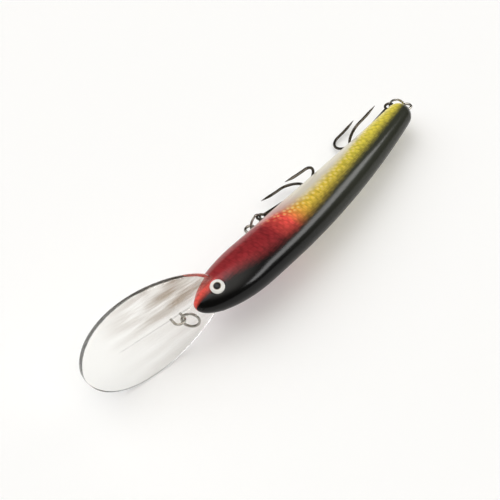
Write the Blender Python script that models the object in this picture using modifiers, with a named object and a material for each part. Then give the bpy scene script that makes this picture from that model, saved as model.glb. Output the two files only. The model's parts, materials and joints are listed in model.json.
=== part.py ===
"""Deep-diving crankbait lure, lying on its left flank with its trebles folded along the belly.

Lure frame: x runs from the nose to the tail, y towards the right flank, z towards the back.
All pieces hang under one empty that lays this frame on the table, Z = 0.
"""
import math

import bmesh
import bpy
from mathutils import Matrix, Vector

# Body, in metres
BODY_LENGTH = 0.125
BODY_HEIGHT = 0.0198
BODY_WIDTH = 0.0160
BODY_BOW = 0.0034            # rise of the centreline at mid-length, towards the back
NOSE_LENGTH = 0.0266         # length of the rounded nose
TAPER_START = 0.0445         # the body narrows from here to the tail
TAPER_POWER = 1.7
TAIL_HEIGHT = 0.0092
TAIL_WIDTH = 0.0087
TAIL_CAP = 0.0050            # length of the rounded tail end
WALL = 0.0013
FIT = 0.0003                 # clearance between pieces that touch

# Chambers inside the body
BULKHEAD = 0.0090            # solid stretch that holds the belly hanger
RATTLE_START = 0.0900
RATTLE_LENGTH = 0.0160
RATTLE_BALL = 0.0050         # ball diameter
HEAD_WEIGHT_LENGTH = 0.0080
HEAD_WEIGHT_WIDTH = 0.0055
BELLY_WEIGHT_LENGTH = 0.0160
BELLY_WEIGHT_WIDTH = 0.0070

# Diving lip
LIP_LENGTH = 0.0555          # root end to tip
LIP_WIDTH = 0.0382
LIP_THICKNESS = 0.0022
LIP_EGG = 0.19               # how far the widest place lies towards the tip
LIP_ANGLE = 13.2             # degrees below the lure's chord
LIP_DROP = 0.0030            # lip plane below the nose tip
LIP_ROOT = 0.0130            # depth of the lip's root behind the nose tip
LIP_SHOULDER = 0.0004        # step from the plate down to its tenon, on each face
LIP_ROUND = 0.0004
RIB_START = 0.0015           # gap from the nose to the centre rib
RIB_LENGTH = 0.0280
RIB_WIDTH = 0.0012
RIB_HEIGHT = 0.0006

# Wire parts
LINE_TIE_AHEAD = 0.0064      # line tie in front of the nose
LINE_TIE_RADIUS = 0.0019
LINE_TIE_STAND = 0.0016      # height of the loop's centre over the lip
LINE_TIE_WIRE = 0.00045      # wire radius
LINE_TIE_FLOOR = 0.0006      # lip left under the blind leg holes
LINE_RING_RADIUS = 0.0030
HANGER_RADIUS = 0.00175
HANGER_WIRE = 0.0005
HANGER_DEPTH = 0.0080
BELLY_HANGER_X = 0.0394
BELLY_HANGER_STAND = 0.0022  # height of the loop's centre off the belly
TAIL_HANGER_STAND = 0.0012   # the same, off the tail end
RING_RADIUS = 0.0030
RING_WIRE = 0.0004
WIRE_PLAY = 0.00015          # slack between two linked wires

# Treble hooks
TREBLE_LENGTH = 0.0270       # split ring to the bottom of the bends
BEND_RADIUS = 0.00535
BITE = 0.0108                # straight stretch from the bend to the point
HOOK_WIRE = 0.00055
SHANK_RADIUS = 0.00085
SHANK_OVERLAP = 0.0050       # stretch where the three wires are brazed together
EYE_LOOP_RADIUS = 0.00155
EYE_LOOP_WIRE = 0.0005
POINT_TAPER = 0.0042
POINT_SIZE = 0.12            # point's width as a share of the wire
HOOKS = 3

# Lure eyes
EYE_DIAMETER = 0.0052
EYE_X = 0.0082
EYE_UP = 0.0023              # above the centreline
EYE_SEAT = 0.0009
EYE_DOME = 0.0004
PUPIL_DIAMETER = 0.0022
PUPIL_DOME = 0.00065
PUPIL_SHOULDER = 0.00012     # drop of the dome at its shoulder
PUPIL_SHOULDER_RADIUS = 0.00066
PUPIL_FIT = 0.00015

# Resting pose: degrees in the lure's mid-plane, 0 to the tail and 90 to the belly
BELLY_RING_LEAN = 6.0
BELLY_TREBLE_LEAN = -4.9
BELLY_TREBLE_DROOP = 8.0
BELLY_TREBLE_SPIN = 41.6
TAIL_RING_LEAN = 112.0
TAIL_TREBLE_LEAN = 177.7
TAIL_TREBLE_DROOP = 9.0
TAIL_TREBLE_SPIN = 16.4
LINE_RING_LEAN = -58.0
LAY_ROLL = 76.7              # turn about the lure's length that lays it on its left flank
LAY_PITCH = 4.0              # the tail lies lower than the head

# Mesh fineness
AROUND = 20
ALONG = 28
WIRE_SIDES = 8
RING_STEPS = 24
EYE_LOOP_STEPS = 18
LIP_STEPS = 56
ROD_SIDES = 16
SHANK_SIDES = 12
TURN_STEPS = 24
BEND_STEPS = 7
TIE_STEPS = 8
BALL_RINGS = 12
CHAMBER_POWER = 6            # roundness of a chamber's ends
SMOOTH_ANGLE = 40.0
MERGE = 0.000001


def clear_scene():
    for old in list(bpy.data.objects):
        bpy.data.objects.remove(old, do_unlink=True)


def new_collection(name, hidden=False):
    collection = bpy.data.collections.new(name)
    bpy.context.scene.collection.children.link(collection)
    collection.hide_render = hidden
    return collection


def paint(obj, colour, roughness, metallic=0.0, alpha=1.0):
    """Give a piece its own Principled material."""
    material = bpy.data.materials.new(obj.name)
    material.use_nodes = True
    shader = material.node_tree.nodes["Principled BSDF"]
    shader.inputs["Base Color"].default_value = (*colour, 1.0)
    shader.inputs["Roughness"].default_value = roughness
    shader.inputs["Metallic"].default_value = metallic
    shader.inputs["Alpha"].default_value = alpha
    obj.data.materials.clear()
    obj.data.materials.append(material)


def add_mesh(name, bm, collection, parent, smooth=True):
    """Turn a bmesh into a named object under its parent."""
    mesh = bpy.data.meshes.new(name)
    bm.to_mesh(mesh)
    bm.free()
    obj = bpy.data.objects.new(name, mesh)
    collection.objects.link(obj)
    obj.parent = parent
    if smooth:
        mesh.shade_smooth()
        mesh.set_sharp_from_angle(angle=math.radians(SMOOTH_ANGLE))
    return obj


def add_cutter(name, bm, parent):
    obj = add_mesh(name, bm, CUTTERS, parent, smooth=False)
    obj.display_type = "WIRE"
    obj.hide_render = True
    return obj


def boolean(obj, other, operation="DIFFERENCE"):
    modifier = obj.modifiers.new(other.name, "BOOLEAN")
    modifier.operation = operation
    modifier.object = other
    modifier.solver = "EXACT"


def box(low, high):
    """Box between two corners."""
    bm = bmesh.new()
    bmesh.ops.create_cube(bm, size=1.0)
    size = [b - a for a, b in zip(low, high)]
    middle = [(a + b) / 2 for a, b in zip(low, high)]
    bmesh.ops.scale(bm, vec=size, verts=bm.verts)
    bmesh.ops.translate(bm, vec=middle, verts=bm.verts)
    return bm


def rod(radius, start, end, sides=ROD_SIDES):
    """Cylinder from start to end."""
    start, end = Vector(start), Vector(end)
    bm = bmesh.new()
    bmesh.ops.create_cone(bm, cap_ends=True, segments=sides, radius1=radius, radius2=radius,
                          depth=(end - start).length)
    turn = (end - start).to_track_quat("Z", "Y").to_matrix().to_4x4()
    bm.transform(Matrix.Translation((start + end) / 2) @ turn)
    return bm


def torus(radius, wire, centre, steps=RING_STEPS):
    """Ring in the xz plane around centre."""
    bpy.ops.mesh.primitive_torus_add(major_radius=radius, minor_radius=wire, major_segments=steps,
                                     minor_segments=WIRE_SIDES)
    made = bpy.context.object
    bm = bmesh.new()
    bm.from_mesh(made.data)
    bpy.data.objects.remove(made, do_unlink=True)
    bm.transform(Matrix.Translation(centre) @ Matrix.Rotation(math.pi / 2, 4, "X"))
    return bm


def turned(name, profile, collection, parent):
    """Profile of (radius, height) points, top to bottom, turned about its z axis."""
    bm = bmesh.new()
    points = [bm.verts.new((r, 0.0, z)) for r, z in profile]
    for a, b in zip(points, points[1:]):
        bm.edges.new((a, b))
    obj = add_mesh(name, bm, collection, parent, smooth=False)
    screw = obj.modifiers.new("turn", "SCREW")
    screw.steps = screw.render_steps = TURN_STEPS
    screw.use_merge_vertices = True
    screw.merge_threshold = MERGE
    return obj


def wire_mesh(path, radii, wire):
    """Bevelled curve through path, made a closed mesh."""
    curve = bpy.data.curves.new("wire", "CURVE")
    curve.dimensions = "3D"
    curve.bevel_depth = wire
    curve.bevel_resolution = 2
    curve.use_fill_caps = True
    spline = curve.splines.new("POLY")
    spline.points.add(len(path) - 1)
    for point, place, radius in zip(spline.points, path, radii):
        point.co = (*place, 1.0)
        point.radius = radius
    obj = bpy.data.objects.new("wire", curve)
    bpy.context.scene.collection.objects.link(obj)
    graph = bpy.context.evaluated_depsgraph_get()
    mesh = bpy.data.meshes.new_from_object(obj.evaluated_get(graph))
    bpy.data.objects.remove(obj, do_unlink=True)
    bm = bmesh.new()
    bm.from_mesh(mesh)
    bmesh.ops.remove_doubles(bm, verts=bm.verts, dist=MERGE)
    bmesh.ops.recalc_face_normals(bm, faces=bm.faces)
    return bm


def centre_height(x):
    """Height of the bowed centreline over the chord."""
    u = x / BODY_LENGTH
    return 4.0 * BODY_BOW * u * (1.0 - u)


def half_section(x):
    """Half width and half height of the body at x."""
    nose = 1.0 - min(x / NOSE_LENGTH, 1.0)
    tail = max(x - (BODY_LENGTH - TAIL_CAP), 0.0) / TAIL_CAP
    ends = math.sqrt(max(1.0 - nose ** 2, 0.0)) * math.sqrt(max(1.0 - tail ** 2, 0.0))
    t = (max(x - TAPER_START, 0.0) / (BODY_LENGTH - TAPER_START)) ** TAPER_POWER
    width = BODY_WIDTH + (TAIL_WIDTH - BODY_WIDTH) * t
    height = BODY_HEIGHT + (TAIL_HEIGHT - BODY_HEIGHT) * t
    return ends * width / 2, ends * height / 2


def belly_height(x):
    return centre_height(x) - half_section(x)[1]


def body_form(start, end, inset=0.0):
    """Sphere stretched to the body's sections from start to end.

    An inset form is a chamber: its ends are rounded inside the body.
    """
    bm = bmesh.new()
    bmesh.ops.create_uvsphere(bm, u_segments=AROUND, v_segments=ALONG, radius=1.0)
    for vert in bm.verts:
        along = max(-1.0, min(1.0, vert.co.z))
        angle = math.atan2(vert.co.y, vert.co.x)
        x = start + (end - start) * (1.0 + along) / 2
        half_width, half_height = half_section(x)
        ends = math.sqrt(max(1.0 - abs(along) ** CHAMBER_POWER, 0.0)) if inset else 1.0
        vert.co = (x, ends * (half_width - inset) * math.cos(angle),
                   centre_height(x) + ends * (half_height - inset) * math.sin(angle))
    bmesh.ops.remove_doubles(bm, verts=bm.verts, dist=MERGE)
    return bm


def lip_place():
    """Lip frame: its plane leans down in front of the nose."""
    lean = Matrix.Rotation(math.radians(-LIP_ANGLE), 4, "Y")
    return Matrix.Translation((0.0, 0.0, -LIP_DROP)) @ lean


def lip_form(thickness, grow=0.0):
    """Egg-shaped plate in the lip's frame: half width is b sin(t) (1 + egg cos(t))."""
    wide = (math.sqrt(1.0 + 8.0 * LIP_EGG ** 2) - 1.0) / (4.0 * LIP_EGG)
    b = LIP_WIDTH / 2 / (math.sqrt(1.0 - wide ** 2) * (1.0 + LIP_EGG * wide))
    half = LIP_LENGTH / 2
    bm = bmesh.new()
    bmesh.ops.create_circle(bm, cap_ends=True, segments=LIP_STEPS, radius=1.0)
    for vert in bm.verts:
        t = math.atan2(vert.co.y, vert.co.x)
        x = LIP_ROOT - half - (half + grow) * math.cos(t)
        vert.co = (x, (b + grow) * math.sin(t) * (1.0 + LIP_EGG * math.cos(t)), -thickness / 2)
    moved = bmesh.ops.extrude_face_region(bm, geom=bm.faces[:])
    top = [item for item in moved["geom"] if isinstance(item, bmesh.types.BMVert)]
    bmesh.ops.translate(bm, vec=(0.0, 0.0, thickness), verts=top)
    bmesh.ops.recalc_face_normals(bm, faces=bm.faces)
    return bm


def hanger_places():
    """Loop centres of the belly and tail hangers, with the turns that point their shanks inwards."""
    belly = Vector((BELLY_HANGER_X, 0.0, belly_height(BELLY_HANGER_X) - BELLY_HANGER_STAND))
    tail = Vector((BODY_LENGTH + TAIL_HANGER_STAND, 0.0, 0.0))
    return {"belly": Matrix.Translation(belly),
            "tail": Matrix.Translation(tail) @ Matrix.Rotation(-math.pi / 2, 4, "Y")}


def hanger_cutters():
    """Shank hole and loop notch for each hanger."""
    cuts = []
    shank = HANGER_RADIUS + HANGER_DEPTH + FIT
    notch = HANGER_WIRE + FIT
    for end, place in hanger_places().items():
        hole = add_cutter(end + "_hanger_hole", rod(HANGER_WIRE + FIT, (0, 0, 0), (0, 0, shank)), LURE)
        slit = add_cutter(end + "_hanger_notch",
                          rod(HANGER_RADIUS + HANGER_WIRE + FIT, (0, -notch, 0), (0, notch, 0)), LURE)
        hole.matrix_local = slit.matrix_local = place
        cuts += [hole, slit]
    return cuts


def hook_wire(spin):
    """One hook of a treble: along the shank, round the bend and back to its point."""
    tip_side = SHANK_RADIUS - HOOK_WIRE
    bottom = TREBLE_LENGTH - BEND_RADIUS
    path = [(bottom - SHANK_OVERLAP, tip_side)]
    for step in range(BEND_STEPS + 1):
        turn = math.pi * step / BEND_STEPS
        out = tip_side + BEND_RADIUS * (1.0 - math.cos(turn))
        path.append((bottom + BEND_RADIUS * math.sin(turn), out))
    far = tip_side + 2 * BEND_RADIUS
    path.append((bottom - BITE + POINT_TAPER, far))
    path.append((bottom - BITE, far))
    radii = [1.0] * (len(path) - 1) + [POINT_SIZE]
    places = [(x, -r * math.sin(spin), r * math.cos(spin)) for x, r in path]
    return wire_mesh(places, radii, HOOK_WIRE)


def make_body():
    """Two half shells with their chambers, slot, holes and eye seats."""
    reach = BODY_LENGTH
    head_end = BELLY_HANGER_X - BULKHEAD / 2
    cuts = [
        add_cutter("head_chamber", body_form(LIP_ROOT + 2 * WALL, head_end, WALL), LURE),
        add_cutter("belly_chamber", body_form(head_end + BULKHEAD, RATTLE_START - WALL, WALL), LURE),
        add_cutter("rattle_bore", rod(RATTLE_BALL / 2 + FIT, *rattle_ends()), LURE),
    ] + hanger_cutters()
    slot = add_cutter("lip_slot", lip_form(LIP_THICKNESS - 2 * LIP_SHOULDER + 2 * FIT, FIT), LURE)
    slot.matrix_local = lip_place()
    cuts.append(slot)
    for side, sign in (("right", 1), ("left", -1)):
        shell = add_mesh("body_shell_" + side, body_form(0.0, BODY_LENGTH), PARTS, LURE)
        near, far = sorted((sign * FIT / 2, sign * BODY_WIDTH))
        half = add_cutter("half_" + side, box((-WALL, near, -reach), (reach + WALL, far, reach)), LURE)
        boolean(shell, half, "INTERSECT")
        recess = rod(EYE_DIAMETER / 2 + FIT, (0, 0, -EYE_SEAT - FIT), (0, 0, EYE_DIAMETER))
        seat = add_cutter("eye_seat_" + side, recess, LURE)
        seat.matrix_local = eye_place(sign)
        for cutter in cuts + [seat]:
            boolean(shell, cutter)
        paint(shell, (0.42, 0.05, 0.05) if sign > 0 else (0.75, 0.55, 0.20), 0.18)


def rattle_ends():
    """Straight bore between two points of the bowed centreline."""
    return [(x, 0.0, centre_height(x)) for x in (RATTLE_START, RATTLE_START + RATTLE_LENGTH)]


def eye_place(sign):
    """Frame on the flank at the eye, with z along the surface normal."""
    def surface(x, up):
        half_width, half_height = half_section(x)
        y = half_width * math.sqrt(1.0 - (up / half_height) ** 2)
        return Vector((x, sign * y, centre_height(x) + up))
    step = BODY_LENGTH / 10000
    here = surface(EYE_X, EYE_UP)
    along = surface(EYE_X + step, EYE_UP) - here
    rise = surface(EYE_X, EYE_UP + step) - here
    normal = rise.normalized().cross(along.normalized()) * sign
    return Matrix.Translation(here) @ normal.to_track_quat("Z", "Y").to_matrix().to_4x4()


def make_eyes():
    """Domed eye discs with a pupil plug in each."""
    radius = EYE_DIAMETER / 2
    hole = PUPIL_DIAMETER / 2 + PUPIL_FIT
    sag = radius ** 2 / BODY_WIDTH
    floor = -EYE_SEAT / 2
    disc = [(0, floor), (hole, floor), (hole, EYE_DOME), ((hole + radius) / 2, EYE_DOME / 2),
            (radius, -sag), (radius, -EYE_SEAT), (0, -EYE_SEAT)]
    pupil = PUPIL_DIAMETER / 2
    plug = [(0, PUPIL_DOME), (PUPIL_SHOULDER_RADIUS, PUPIL_DOME - PUPIL_SHOULDER), (pupil, EYE_DOME),
            (pupil, floor + PUPIL_FIT), (0, floor + PUPIL_FIT)]
    finishes = (("eye_", disc, (0.9, 0.9, 0.86)), ("pupil_", plug, (0.01, 0.01, 0.01)))
    for side, sign in (("right", 1), ("left", -1)):
        for name, profile, colour in finishes:
            piece = turned(name + side, profile, PARTS, LURE)
            piece.matrix_local = eye_place(sign)
            paint(piece, colour, 0.12)


def make_lip():
    """Clear lip: egg plate, thinner tenon in the head, centre rib and blind holes for the line tie."""
    lip = add_mesh("diving_lip", lip_form(LIP_THICKNESS), PARTS, LURE)
    lip.matrix_local = lip_place()
    bevel = lip.modifiers.new("rim", "BEVEL")
    bevel.width = LIP_ROUND
    bevel.segments = 2
    top = LIP_THICKNESS / 2
    for name, sign in (("tenon_step_top", 1), ("tenon_step_bottom", -1)):
        low, high = sorted((sign * (top - LIP_SHOULDER), sign * LIP_THICKNESS))
        step = add_cutter(name, box((-FIT, -LIP_WIDTH, low), (LIP_LENGTH, LIP_WIDTH, high)), lip)
        boolean(lip, step)
    rib = add_cutter("rib", box((-RIB_START - RIB_LENGTH, -RIB_WIDTH / 2, 0.0),
                                (-RIB_START, RIB_WIDTH / 2, top + RIB_HEIGHT)), lip)
    boolean(lip, rib, "UNION")
    for name, sign in (("leg_hole_front", -1), ("leg_hole_rear", 1)):
        x = sign * LINE_TIE_RADIUS - LINE_TIE_AHEAD
        hole = add_cutter(name, rod(LINE_TIE_WIRE + FIT, (x, 0, LINE_TIE_FLOOR - top),
                                    (x, 0, LIP_THICKNESS + RIB_HEIGHT)), lip)
        boolean(lip, hole)
    paint(lip, (0.85, 0.86, 0.85), 0.06, alpha=0.3)
    return lip


def make_line_tie(lip):
    """Wire staple in the lip, and the split ring that swings on it."""
    top = LIP_THICKNESS / 2
    centre = top + LINE_TIE_STAND
    foot = LINE_TIE_FLOOR + FIT - top
    path = [(-LINE_TIE_AHEAD - LINE_TIE_RADIUS, 0.0, foot)]
    for step in range(TIE_STEPS + 1):
        turn = math.pi * step / TIE_STEPS
        along = -LINE_TIE_AHEAD - LINE_TIE_RADIUS * math.cos(turn)
        path.append((along, 0.0, centre + LINE_TIE_RADIUS * math.sin(turn)))
    path.append((-LINE_TIE_AHEAD + LINE_TIE_RADIUS, 0.0, foot))
    tie = add_mesh("line_tie", wire_mesh(path, [1.0] * len(path), LINE_TIE_WIRE), PARTS, lip)
    paint(tie, (0.55, 0.55, 0.55), 0.2, 1.0)
    slack = LINE_TIE_RADIUS - LINE_TIE_WIRE - RING_WIRE - WIRE_PLAY
    loop = lip_place() @ Vector((-LINE_TIE_AHEAD, 0.0, centre))
    make_ring("line_ring", LINE_RING_RADIUS, loop, LINE_RING_LEAN, slack)


def lean_direction(lean):
    turn = math.radians(lean)
    return Vector((math.cos(turn), 0.0, -math.sin(turn)))


def make_ring(name, radius, loop, lean, slack):
    """Ring hooked through a loop, with its origin where its wire crosses the loop."""
    bm = torus(radius, RING_WIRE, (0.0, 0.0, 0.0))
    bm.transform(Matrix.Translation((radius, 0.0, 0.0)) @ Matrix.Rotation(math.pi / 2, 4, "X"))
    ring = add_mesh(name, bm, PARTS, LURE)
    direction = lean_direction(lean)
    turn = Matrix.Rotation(math.radians(lean), 4, "Y")
    ring.matrix_local = Matrix.Translation(loop + direction * slack) @ turn
    paint(ring, (0.35, 0.35, 0.36), 0.22, 1.0)
    return loop + direction * (slack + 2 * radius)


def make_hanger(name, place):
    """Eyelet: loop around its origin and a shank let into the body."""
    hanger = add_mesh(name, torus(HANGER_RADIUS, HANGER_WIRE, (0.0, 0.0, 0.0)), PARTS, LURE)
    hanger.matrix_local = place
    shank = rod(HANGER_WIRE, (0, 0, HANGER_RADIUS), (0, 0, HANGER_RADIUS + HANGER_DEPTH))
    boolean(hanger, add_cutter(name + "_shank", shank, hanger), "UNION")
    paint(hanger, (0.45, 0.45, 0.45), 0.25, 1.0)


def make_treble(name, ring_end, lean, droop, spin):
    """Treble hook with its origin on the split ring's far side."""
    eye_x = EYE_LOOP_RADIUS - EYE_LOOP_WIRE - RING_WIRE - WIRE_PLAY
    start = eye_x + EYE_LOOP_RADIUS
    shank = rod(SHANK_RADIUS, (start, 0, 0), (TREBLE_LENGTH - BEND_RADIUS, 0, 0), SHANK_SIDES)
    treble = add_mesh(name, shank, PARTS, LURE)
    swing = Matrix.Rotation(math.radians(lean), 4, "Y")
    sag = Matrix.Rotation(math.radians(-droop), 4, "Z")
    treble.matrix_local = Matrix.Translation(ring_end) @ swing @ sag
    eye = torus(EYE_LOOP_RADIUS, EYE_LOOP_WIRE, (eye_x, 0, 0), EYE_LOOP_STEPS)
    boolean(treble, add_cutter(name + "_eye", eye, treble), "UNION")
    for number in range(HOOKS):
        hook = hook_wire(math.radians(spin) + 2 * math.pi * number / HOOKS)
        boolean(treble, add_cutter(f"{name}_hook_{number + 1}", hook, treble), "UNION")
    paint(treble, (0.06, 0.06, 0.065), 0.2, 1.0)


def make_tackle():
    """Hangers, split rings and trebles at the belly and the tail."""
    slack = HANGER_RADIUS - HANGER_WIRE - RING_WIRE - WIRE_PLAY
    poses = {"belly": (BELLY_RING_LEAN, BELLY_TREBLE_LEAN, BELLY_TREBLE_DROOP, BELLY_TREBLE_SPIN),
             "tail": (TAIL_RING_LEAN, TAIL_TREBLE_LEAN, TAIL_TREBLE_DROOP, TAIL_TREBLE_SPIN)}
    for end, place in hanger_places().items():
        ring_lean, lean, droop, spin = poses[end]
        make_hanger(end + "_hanger", place)
        ring_end = make_ring(end + "_ring", RING_RADIUS, place.translation, ring_lean, slack)
        make_treble(end + "_treble", ring_end, lean, droop, spin)


def make_weight(name, middle, length, width):
    """Ballast slug lying on the chamber's belly wall."""
    ends = (middle - length / 2, middle, middle + length / 2)
    floor = max(belly_height(x) for x in ends) + WALL
    height = floor + FIT + width / 2
    slug = add_mesh(name, rod(width / 2, (ends[0], 0, height), (ends[2], 0, height)), PARTS, LURE)
    paint(slug, (0.25, 0.25, 0.26), 0.5, 1.0)


def make_inside():
    """Ballast slugs in the two front chambers and the loose ball in the tail bore."""
    head = (LIP_ROOT + 2 * WALL + BELLY_HANGER_X - BULKHEAD / 2) / 2
    make_weight("head_weight", head, HEAD_WEIGHT_LENGTH, HEAD_WEIGHT_WIDTH)
    belly = BELLY_HANGER_X + BULKHEAD / 2 + BELLY_WEIGHT_LENGTH
    make_weight("belly_weight", belly, BELLY_WEIGHT_LENGTH, BELLY_WEIGHT_WIDTH)
    start, end = [Vector(point) for point in rattle_ends()]
    bm = bmesh.new()
    bmesh.ops.create_uvsphere(bm, u_segments=ROD_SIDES, v_segments=BALL_RINGS, radius=RATTLE_BALL / 2)
    ball = add_mesh("rattle_ball", bm, PARTS, LURE)
    ball.location = start + (end - start).normalized() * (RATTLE_BALL / 2 + FIT)
    paint(ball, (0.6, 0.6, 0.6), 0.15, 1.0)


def lay_down():
    """Lay the lure on its left flank, on the table and centred over the origin."""
    LURE.rotation_euler = (math.radians(LAY_ROLL), math.radians(LAY_PITCH), 0.0)
    bpy.context.view_layer.update()
    graph = bpy.context.evaluated_depsgraph_get()
    corners = []
    for piece in PARTS.objects:
        mesh = piece.evaluated_get(graph).to_mesh()
        corners += [piece.matrix_world @ vert.co for vert in mesh.vertices]
    low = [min(corner[axis] for corner in corners) for axis in range(3)]
    high = [max(corner[axis] for corner in corners) for axis in range(3)]
    LURE.location = (-(low[0] + high[0]) / 2, -(low[1] + high[1]) / 2, -low[2])
    bpy.context.view_layer.update()


clear_scene()
PARTS = new_collection("crankbait_lure")
CUTTERS = new_collection("cutters", hidden=True)
LURE = bpy.data.objects.new("lure_frame", None)
bpy.context.scene.collection.objects.link(LURE)
make_body()
make_eyes()
make_line_tie(make_lip())
make_tackle()
make_inside()
lay_down()
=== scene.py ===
"""Looks of a deep-diving crankbait: painted body, clear lip, wire parts, trebles and eyes.

Lure frame: x runs from the nose to the tail, y towards the right flank, z towards the back.
"""
import json
import math

import bpy
import numpy as np
from bpy.props import FloatProperty, FloatVectorProperty, PointerProperty
from mathutils import Matrix


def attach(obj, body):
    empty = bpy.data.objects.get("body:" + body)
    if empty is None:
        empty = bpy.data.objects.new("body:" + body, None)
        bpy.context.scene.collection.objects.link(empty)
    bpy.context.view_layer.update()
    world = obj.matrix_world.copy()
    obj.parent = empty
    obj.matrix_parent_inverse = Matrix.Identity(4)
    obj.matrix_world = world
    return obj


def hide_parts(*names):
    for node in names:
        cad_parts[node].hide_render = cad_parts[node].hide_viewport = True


bl_info = {
    "name": "Crankbait Lure",
    "version": (1, 0, 0),
    "blender": (4, 5, 0),
    "location": "View3D > Sidebar > Lure",
    "description": "Builds a painted crankbait lure around its packed frame",
    "category": "Object",
}

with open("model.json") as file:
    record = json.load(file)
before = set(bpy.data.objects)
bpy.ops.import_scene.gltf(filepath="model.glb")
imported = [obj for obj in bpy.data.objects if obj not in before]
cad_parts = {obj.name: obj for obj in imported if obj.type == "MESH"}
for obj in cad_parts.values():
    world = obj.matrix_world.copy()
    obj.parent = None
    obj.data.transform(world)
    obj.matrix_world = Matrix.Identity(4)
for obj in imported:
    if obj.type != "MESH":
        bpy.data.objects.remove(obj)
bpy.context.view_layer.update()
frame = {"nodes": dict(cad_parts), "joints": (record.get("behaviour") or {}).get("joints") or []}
JOINTS = {joint["name"]: joint for joint in frame["joints"]}

# Mesh fineness
BODY_ROWS = 330
BODY_COLUMNS = 168
LIP_ROWS = 150
LIP_COLUMNS = 121
LIP_EDGE_STEPS = 13
WIRE_SIDES = 14
LOOP_STEPS = 72
TURNED_STEPS = 56
DOME_STEPS = 14
SHANK_STEPS = 20
BEND_STEPS = 34
POINT_STEPS = 30
BARB_STEPS = 10
MILLIMETRE = 0.001

# Shares and powers that shape the small forms
LIP_EVEN = 0.3          # even spacing across the lip's faces; the rest crowds points to the middle
RIB_ROUNDING = 1 / 6    # of the rib's width
RING_END_GAP = 0.06     # turn left open at each end of a split ring's wire, in radians
RING_STEP = 0.2         # half turns before and after the middle in which the wire steps across
COIL_SPACING = 1.06     # coil middles apart, in coil thicknesses
COIL_TRIM = 0.92        # flat wire against the CAD ring's round wire
TIP_SHARE = 0.07        # radius left at a hook's tip, of its wire
GRIND_POWER = 0.75      # fullness of the ground point
BARB_PLACE = 0.75       # barb behind the tip, of the ground point
BARB_ROOT = 0.4         # barb's root inside the point's middle, in wire radii
BARB_RISE = 1.5         # how far the barb stands off, in wire radii
BARB_THICK = 0.75       # barb's radius at its root, of the wire
EYE_POWER = 2.4         # roundness of the eye's crown
PUPIL_FOOT = 0.6        # foot of the pupil's crown, of the eye's crown
IRIS_EDGE = (0.03, 0.12)    # soft edge of the iris outside the pupil, of the eye's radius

# Paint: shares of the body's length, degrees round the flank, millimetres
BELLY_LINE = [(0.0, 0.2), (0.24, 0.24), (0.33, 0.38), (0.42, 0.50), (0.60, 0.49), (0.74, 0.40),
              (0.86, 0.26), (1.0, 0.18)]
BELLY_SPAN = 180.0      # degrees that the belly line's 0 to 1 stands for
BELLY_LOWEST = -87.0    # degrees at the belly line's 0
BACK_LINE = [(0.0, 0.18), (0.06, 0.26), (0.15, 0.41), (0.25, 0.54), (0.36, 0.54), (0.5, 0.45),
             (0.65, 0.36), (0.85, 0.27), (1.0, 0.2)]
BACK_SPAN = 90.0        # degrees that the back line's 0 to 1 stands for
SPRAY_WANDER = 16.0     # degrees that the sprayed edges wander
PEARL_FADE = (-12.0, 14.0)      # degrees below the belly line in which the pearl sets in
SPOT_BAND = (-26.0, -9.0)       # degrees below the belly line in which the bright spots set in
BLACK_FADE = (-24.0, 12.0)      # degrees above the back line in which the black sets in
SPOT_START = (0.27, 0.42)       # shares of the length in which the bright spots set in
SCALES_START = (0.06, 0.2)      # shares of the length in which the scale print sets in
SCALE_PITCH = 2.6               # scale cells apart
STREAK_SCALE = (1.6, 0.3, 0)    # streaks in a millimetre along the body and across it
SHADE_MARK_LENGTH = 25.0      # marks in the lip that carry its painted shade
SHADE_MARK_WIDTH = 4.0
SHADE_FADE = (36.0, 10.0)    # ahead of the nose
SHADE_SIDE = (0.0, 6.0)      # from the rib towards the right
HAZE_GRAIN = 0.6 * MILLIMETRE


def linear(hex_code):
    """Linear colour of an sRGB hex code."""
    code = np.array([int(hex_code[i:i + 2], 16) for i in (0, 2, 4)]) / 255
    return tuple(np.where(code <= 0.04045, code / 12.92, ((code + 0.055) / 1.055) ** 2.4).tolist())


def number(name, description, default):
    return FloatProperty(name=name, description=description, default=default)


def length(name, description, default):
    return FloatProperty(name=name, description=description, default=default, unit="LENGTH", precision=5)


def angle(name, description, default):
    return FloatProperty(name=name, description=description, default=math.radians(default),
                         subtype="ANGLE")


def colour(name, description, default):
    return FloatVectorProperty(name=name, description=description, default=linear(default),
                               subtype="COLOR", size=3, min=0.0, max=1.0)


class BodySizes(bpy.types.PropertyGroup):
    """Sizes of the moulded body and the way it lies."""
    length: length("Length", "Nose tip to tail end", 0.125)
    height: length("Height", "Back to belly at the middle", 0.0198)
    width: length("Width", "Flank to flank at the middle", 0.0160)
    bow: length("Bow", "Rise of the centreline at mid-length", 0.0034)
    nose: length("Nose", "Length of the rounded nose", 0.0266)
    taper_start: length("Taper start", "The body narrows from here to the tail", 0.0445)
    tail_height: length("Tail height", "Height before the tail's rounding", 0.0092)
    tail_width: length("Tail width", "Width before the tail's rounding", 0.0087)
    tail_cap: length("Tail cap", "Length of the rounded tail end", 0.0050)
    taper_power: number("Taper power", "How late the taper sets in", 1.7)
    roll: angle("Roll", "Turn that lays the lure on its left flank", 76.7)
    pitch: angle("Pitch", "The tail lies lower than the head", 4.0)


class EyeSizes(bpy.types.PropertyGroup):
    """Sizes of the eyes."""
    diameter: length("Diameter", "White disc", 0.0052)
    along: length("Along", "Eye centre behind the nose tip", 0.0082)
    up: length("Up", "Eye centre above the centreline", 0.0023)
    seat: length("Seat", "Depth of the disc in the head", 0.0009)
    dome: length("Dome", "Rise of the disc's crown", 0.0004)
    pupil: length("Pupil", "Pupil diameter", 0.0024)
    pupil_dome: length("Pupil dome", "Rise of the pupil's crown", 0.00065)
    rim: length("Rim", "Width of the soft edge of the seat", 0.0004)
    sink: length("Sink", "Depth of the seat's visible edge", 0.00025)


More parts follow.
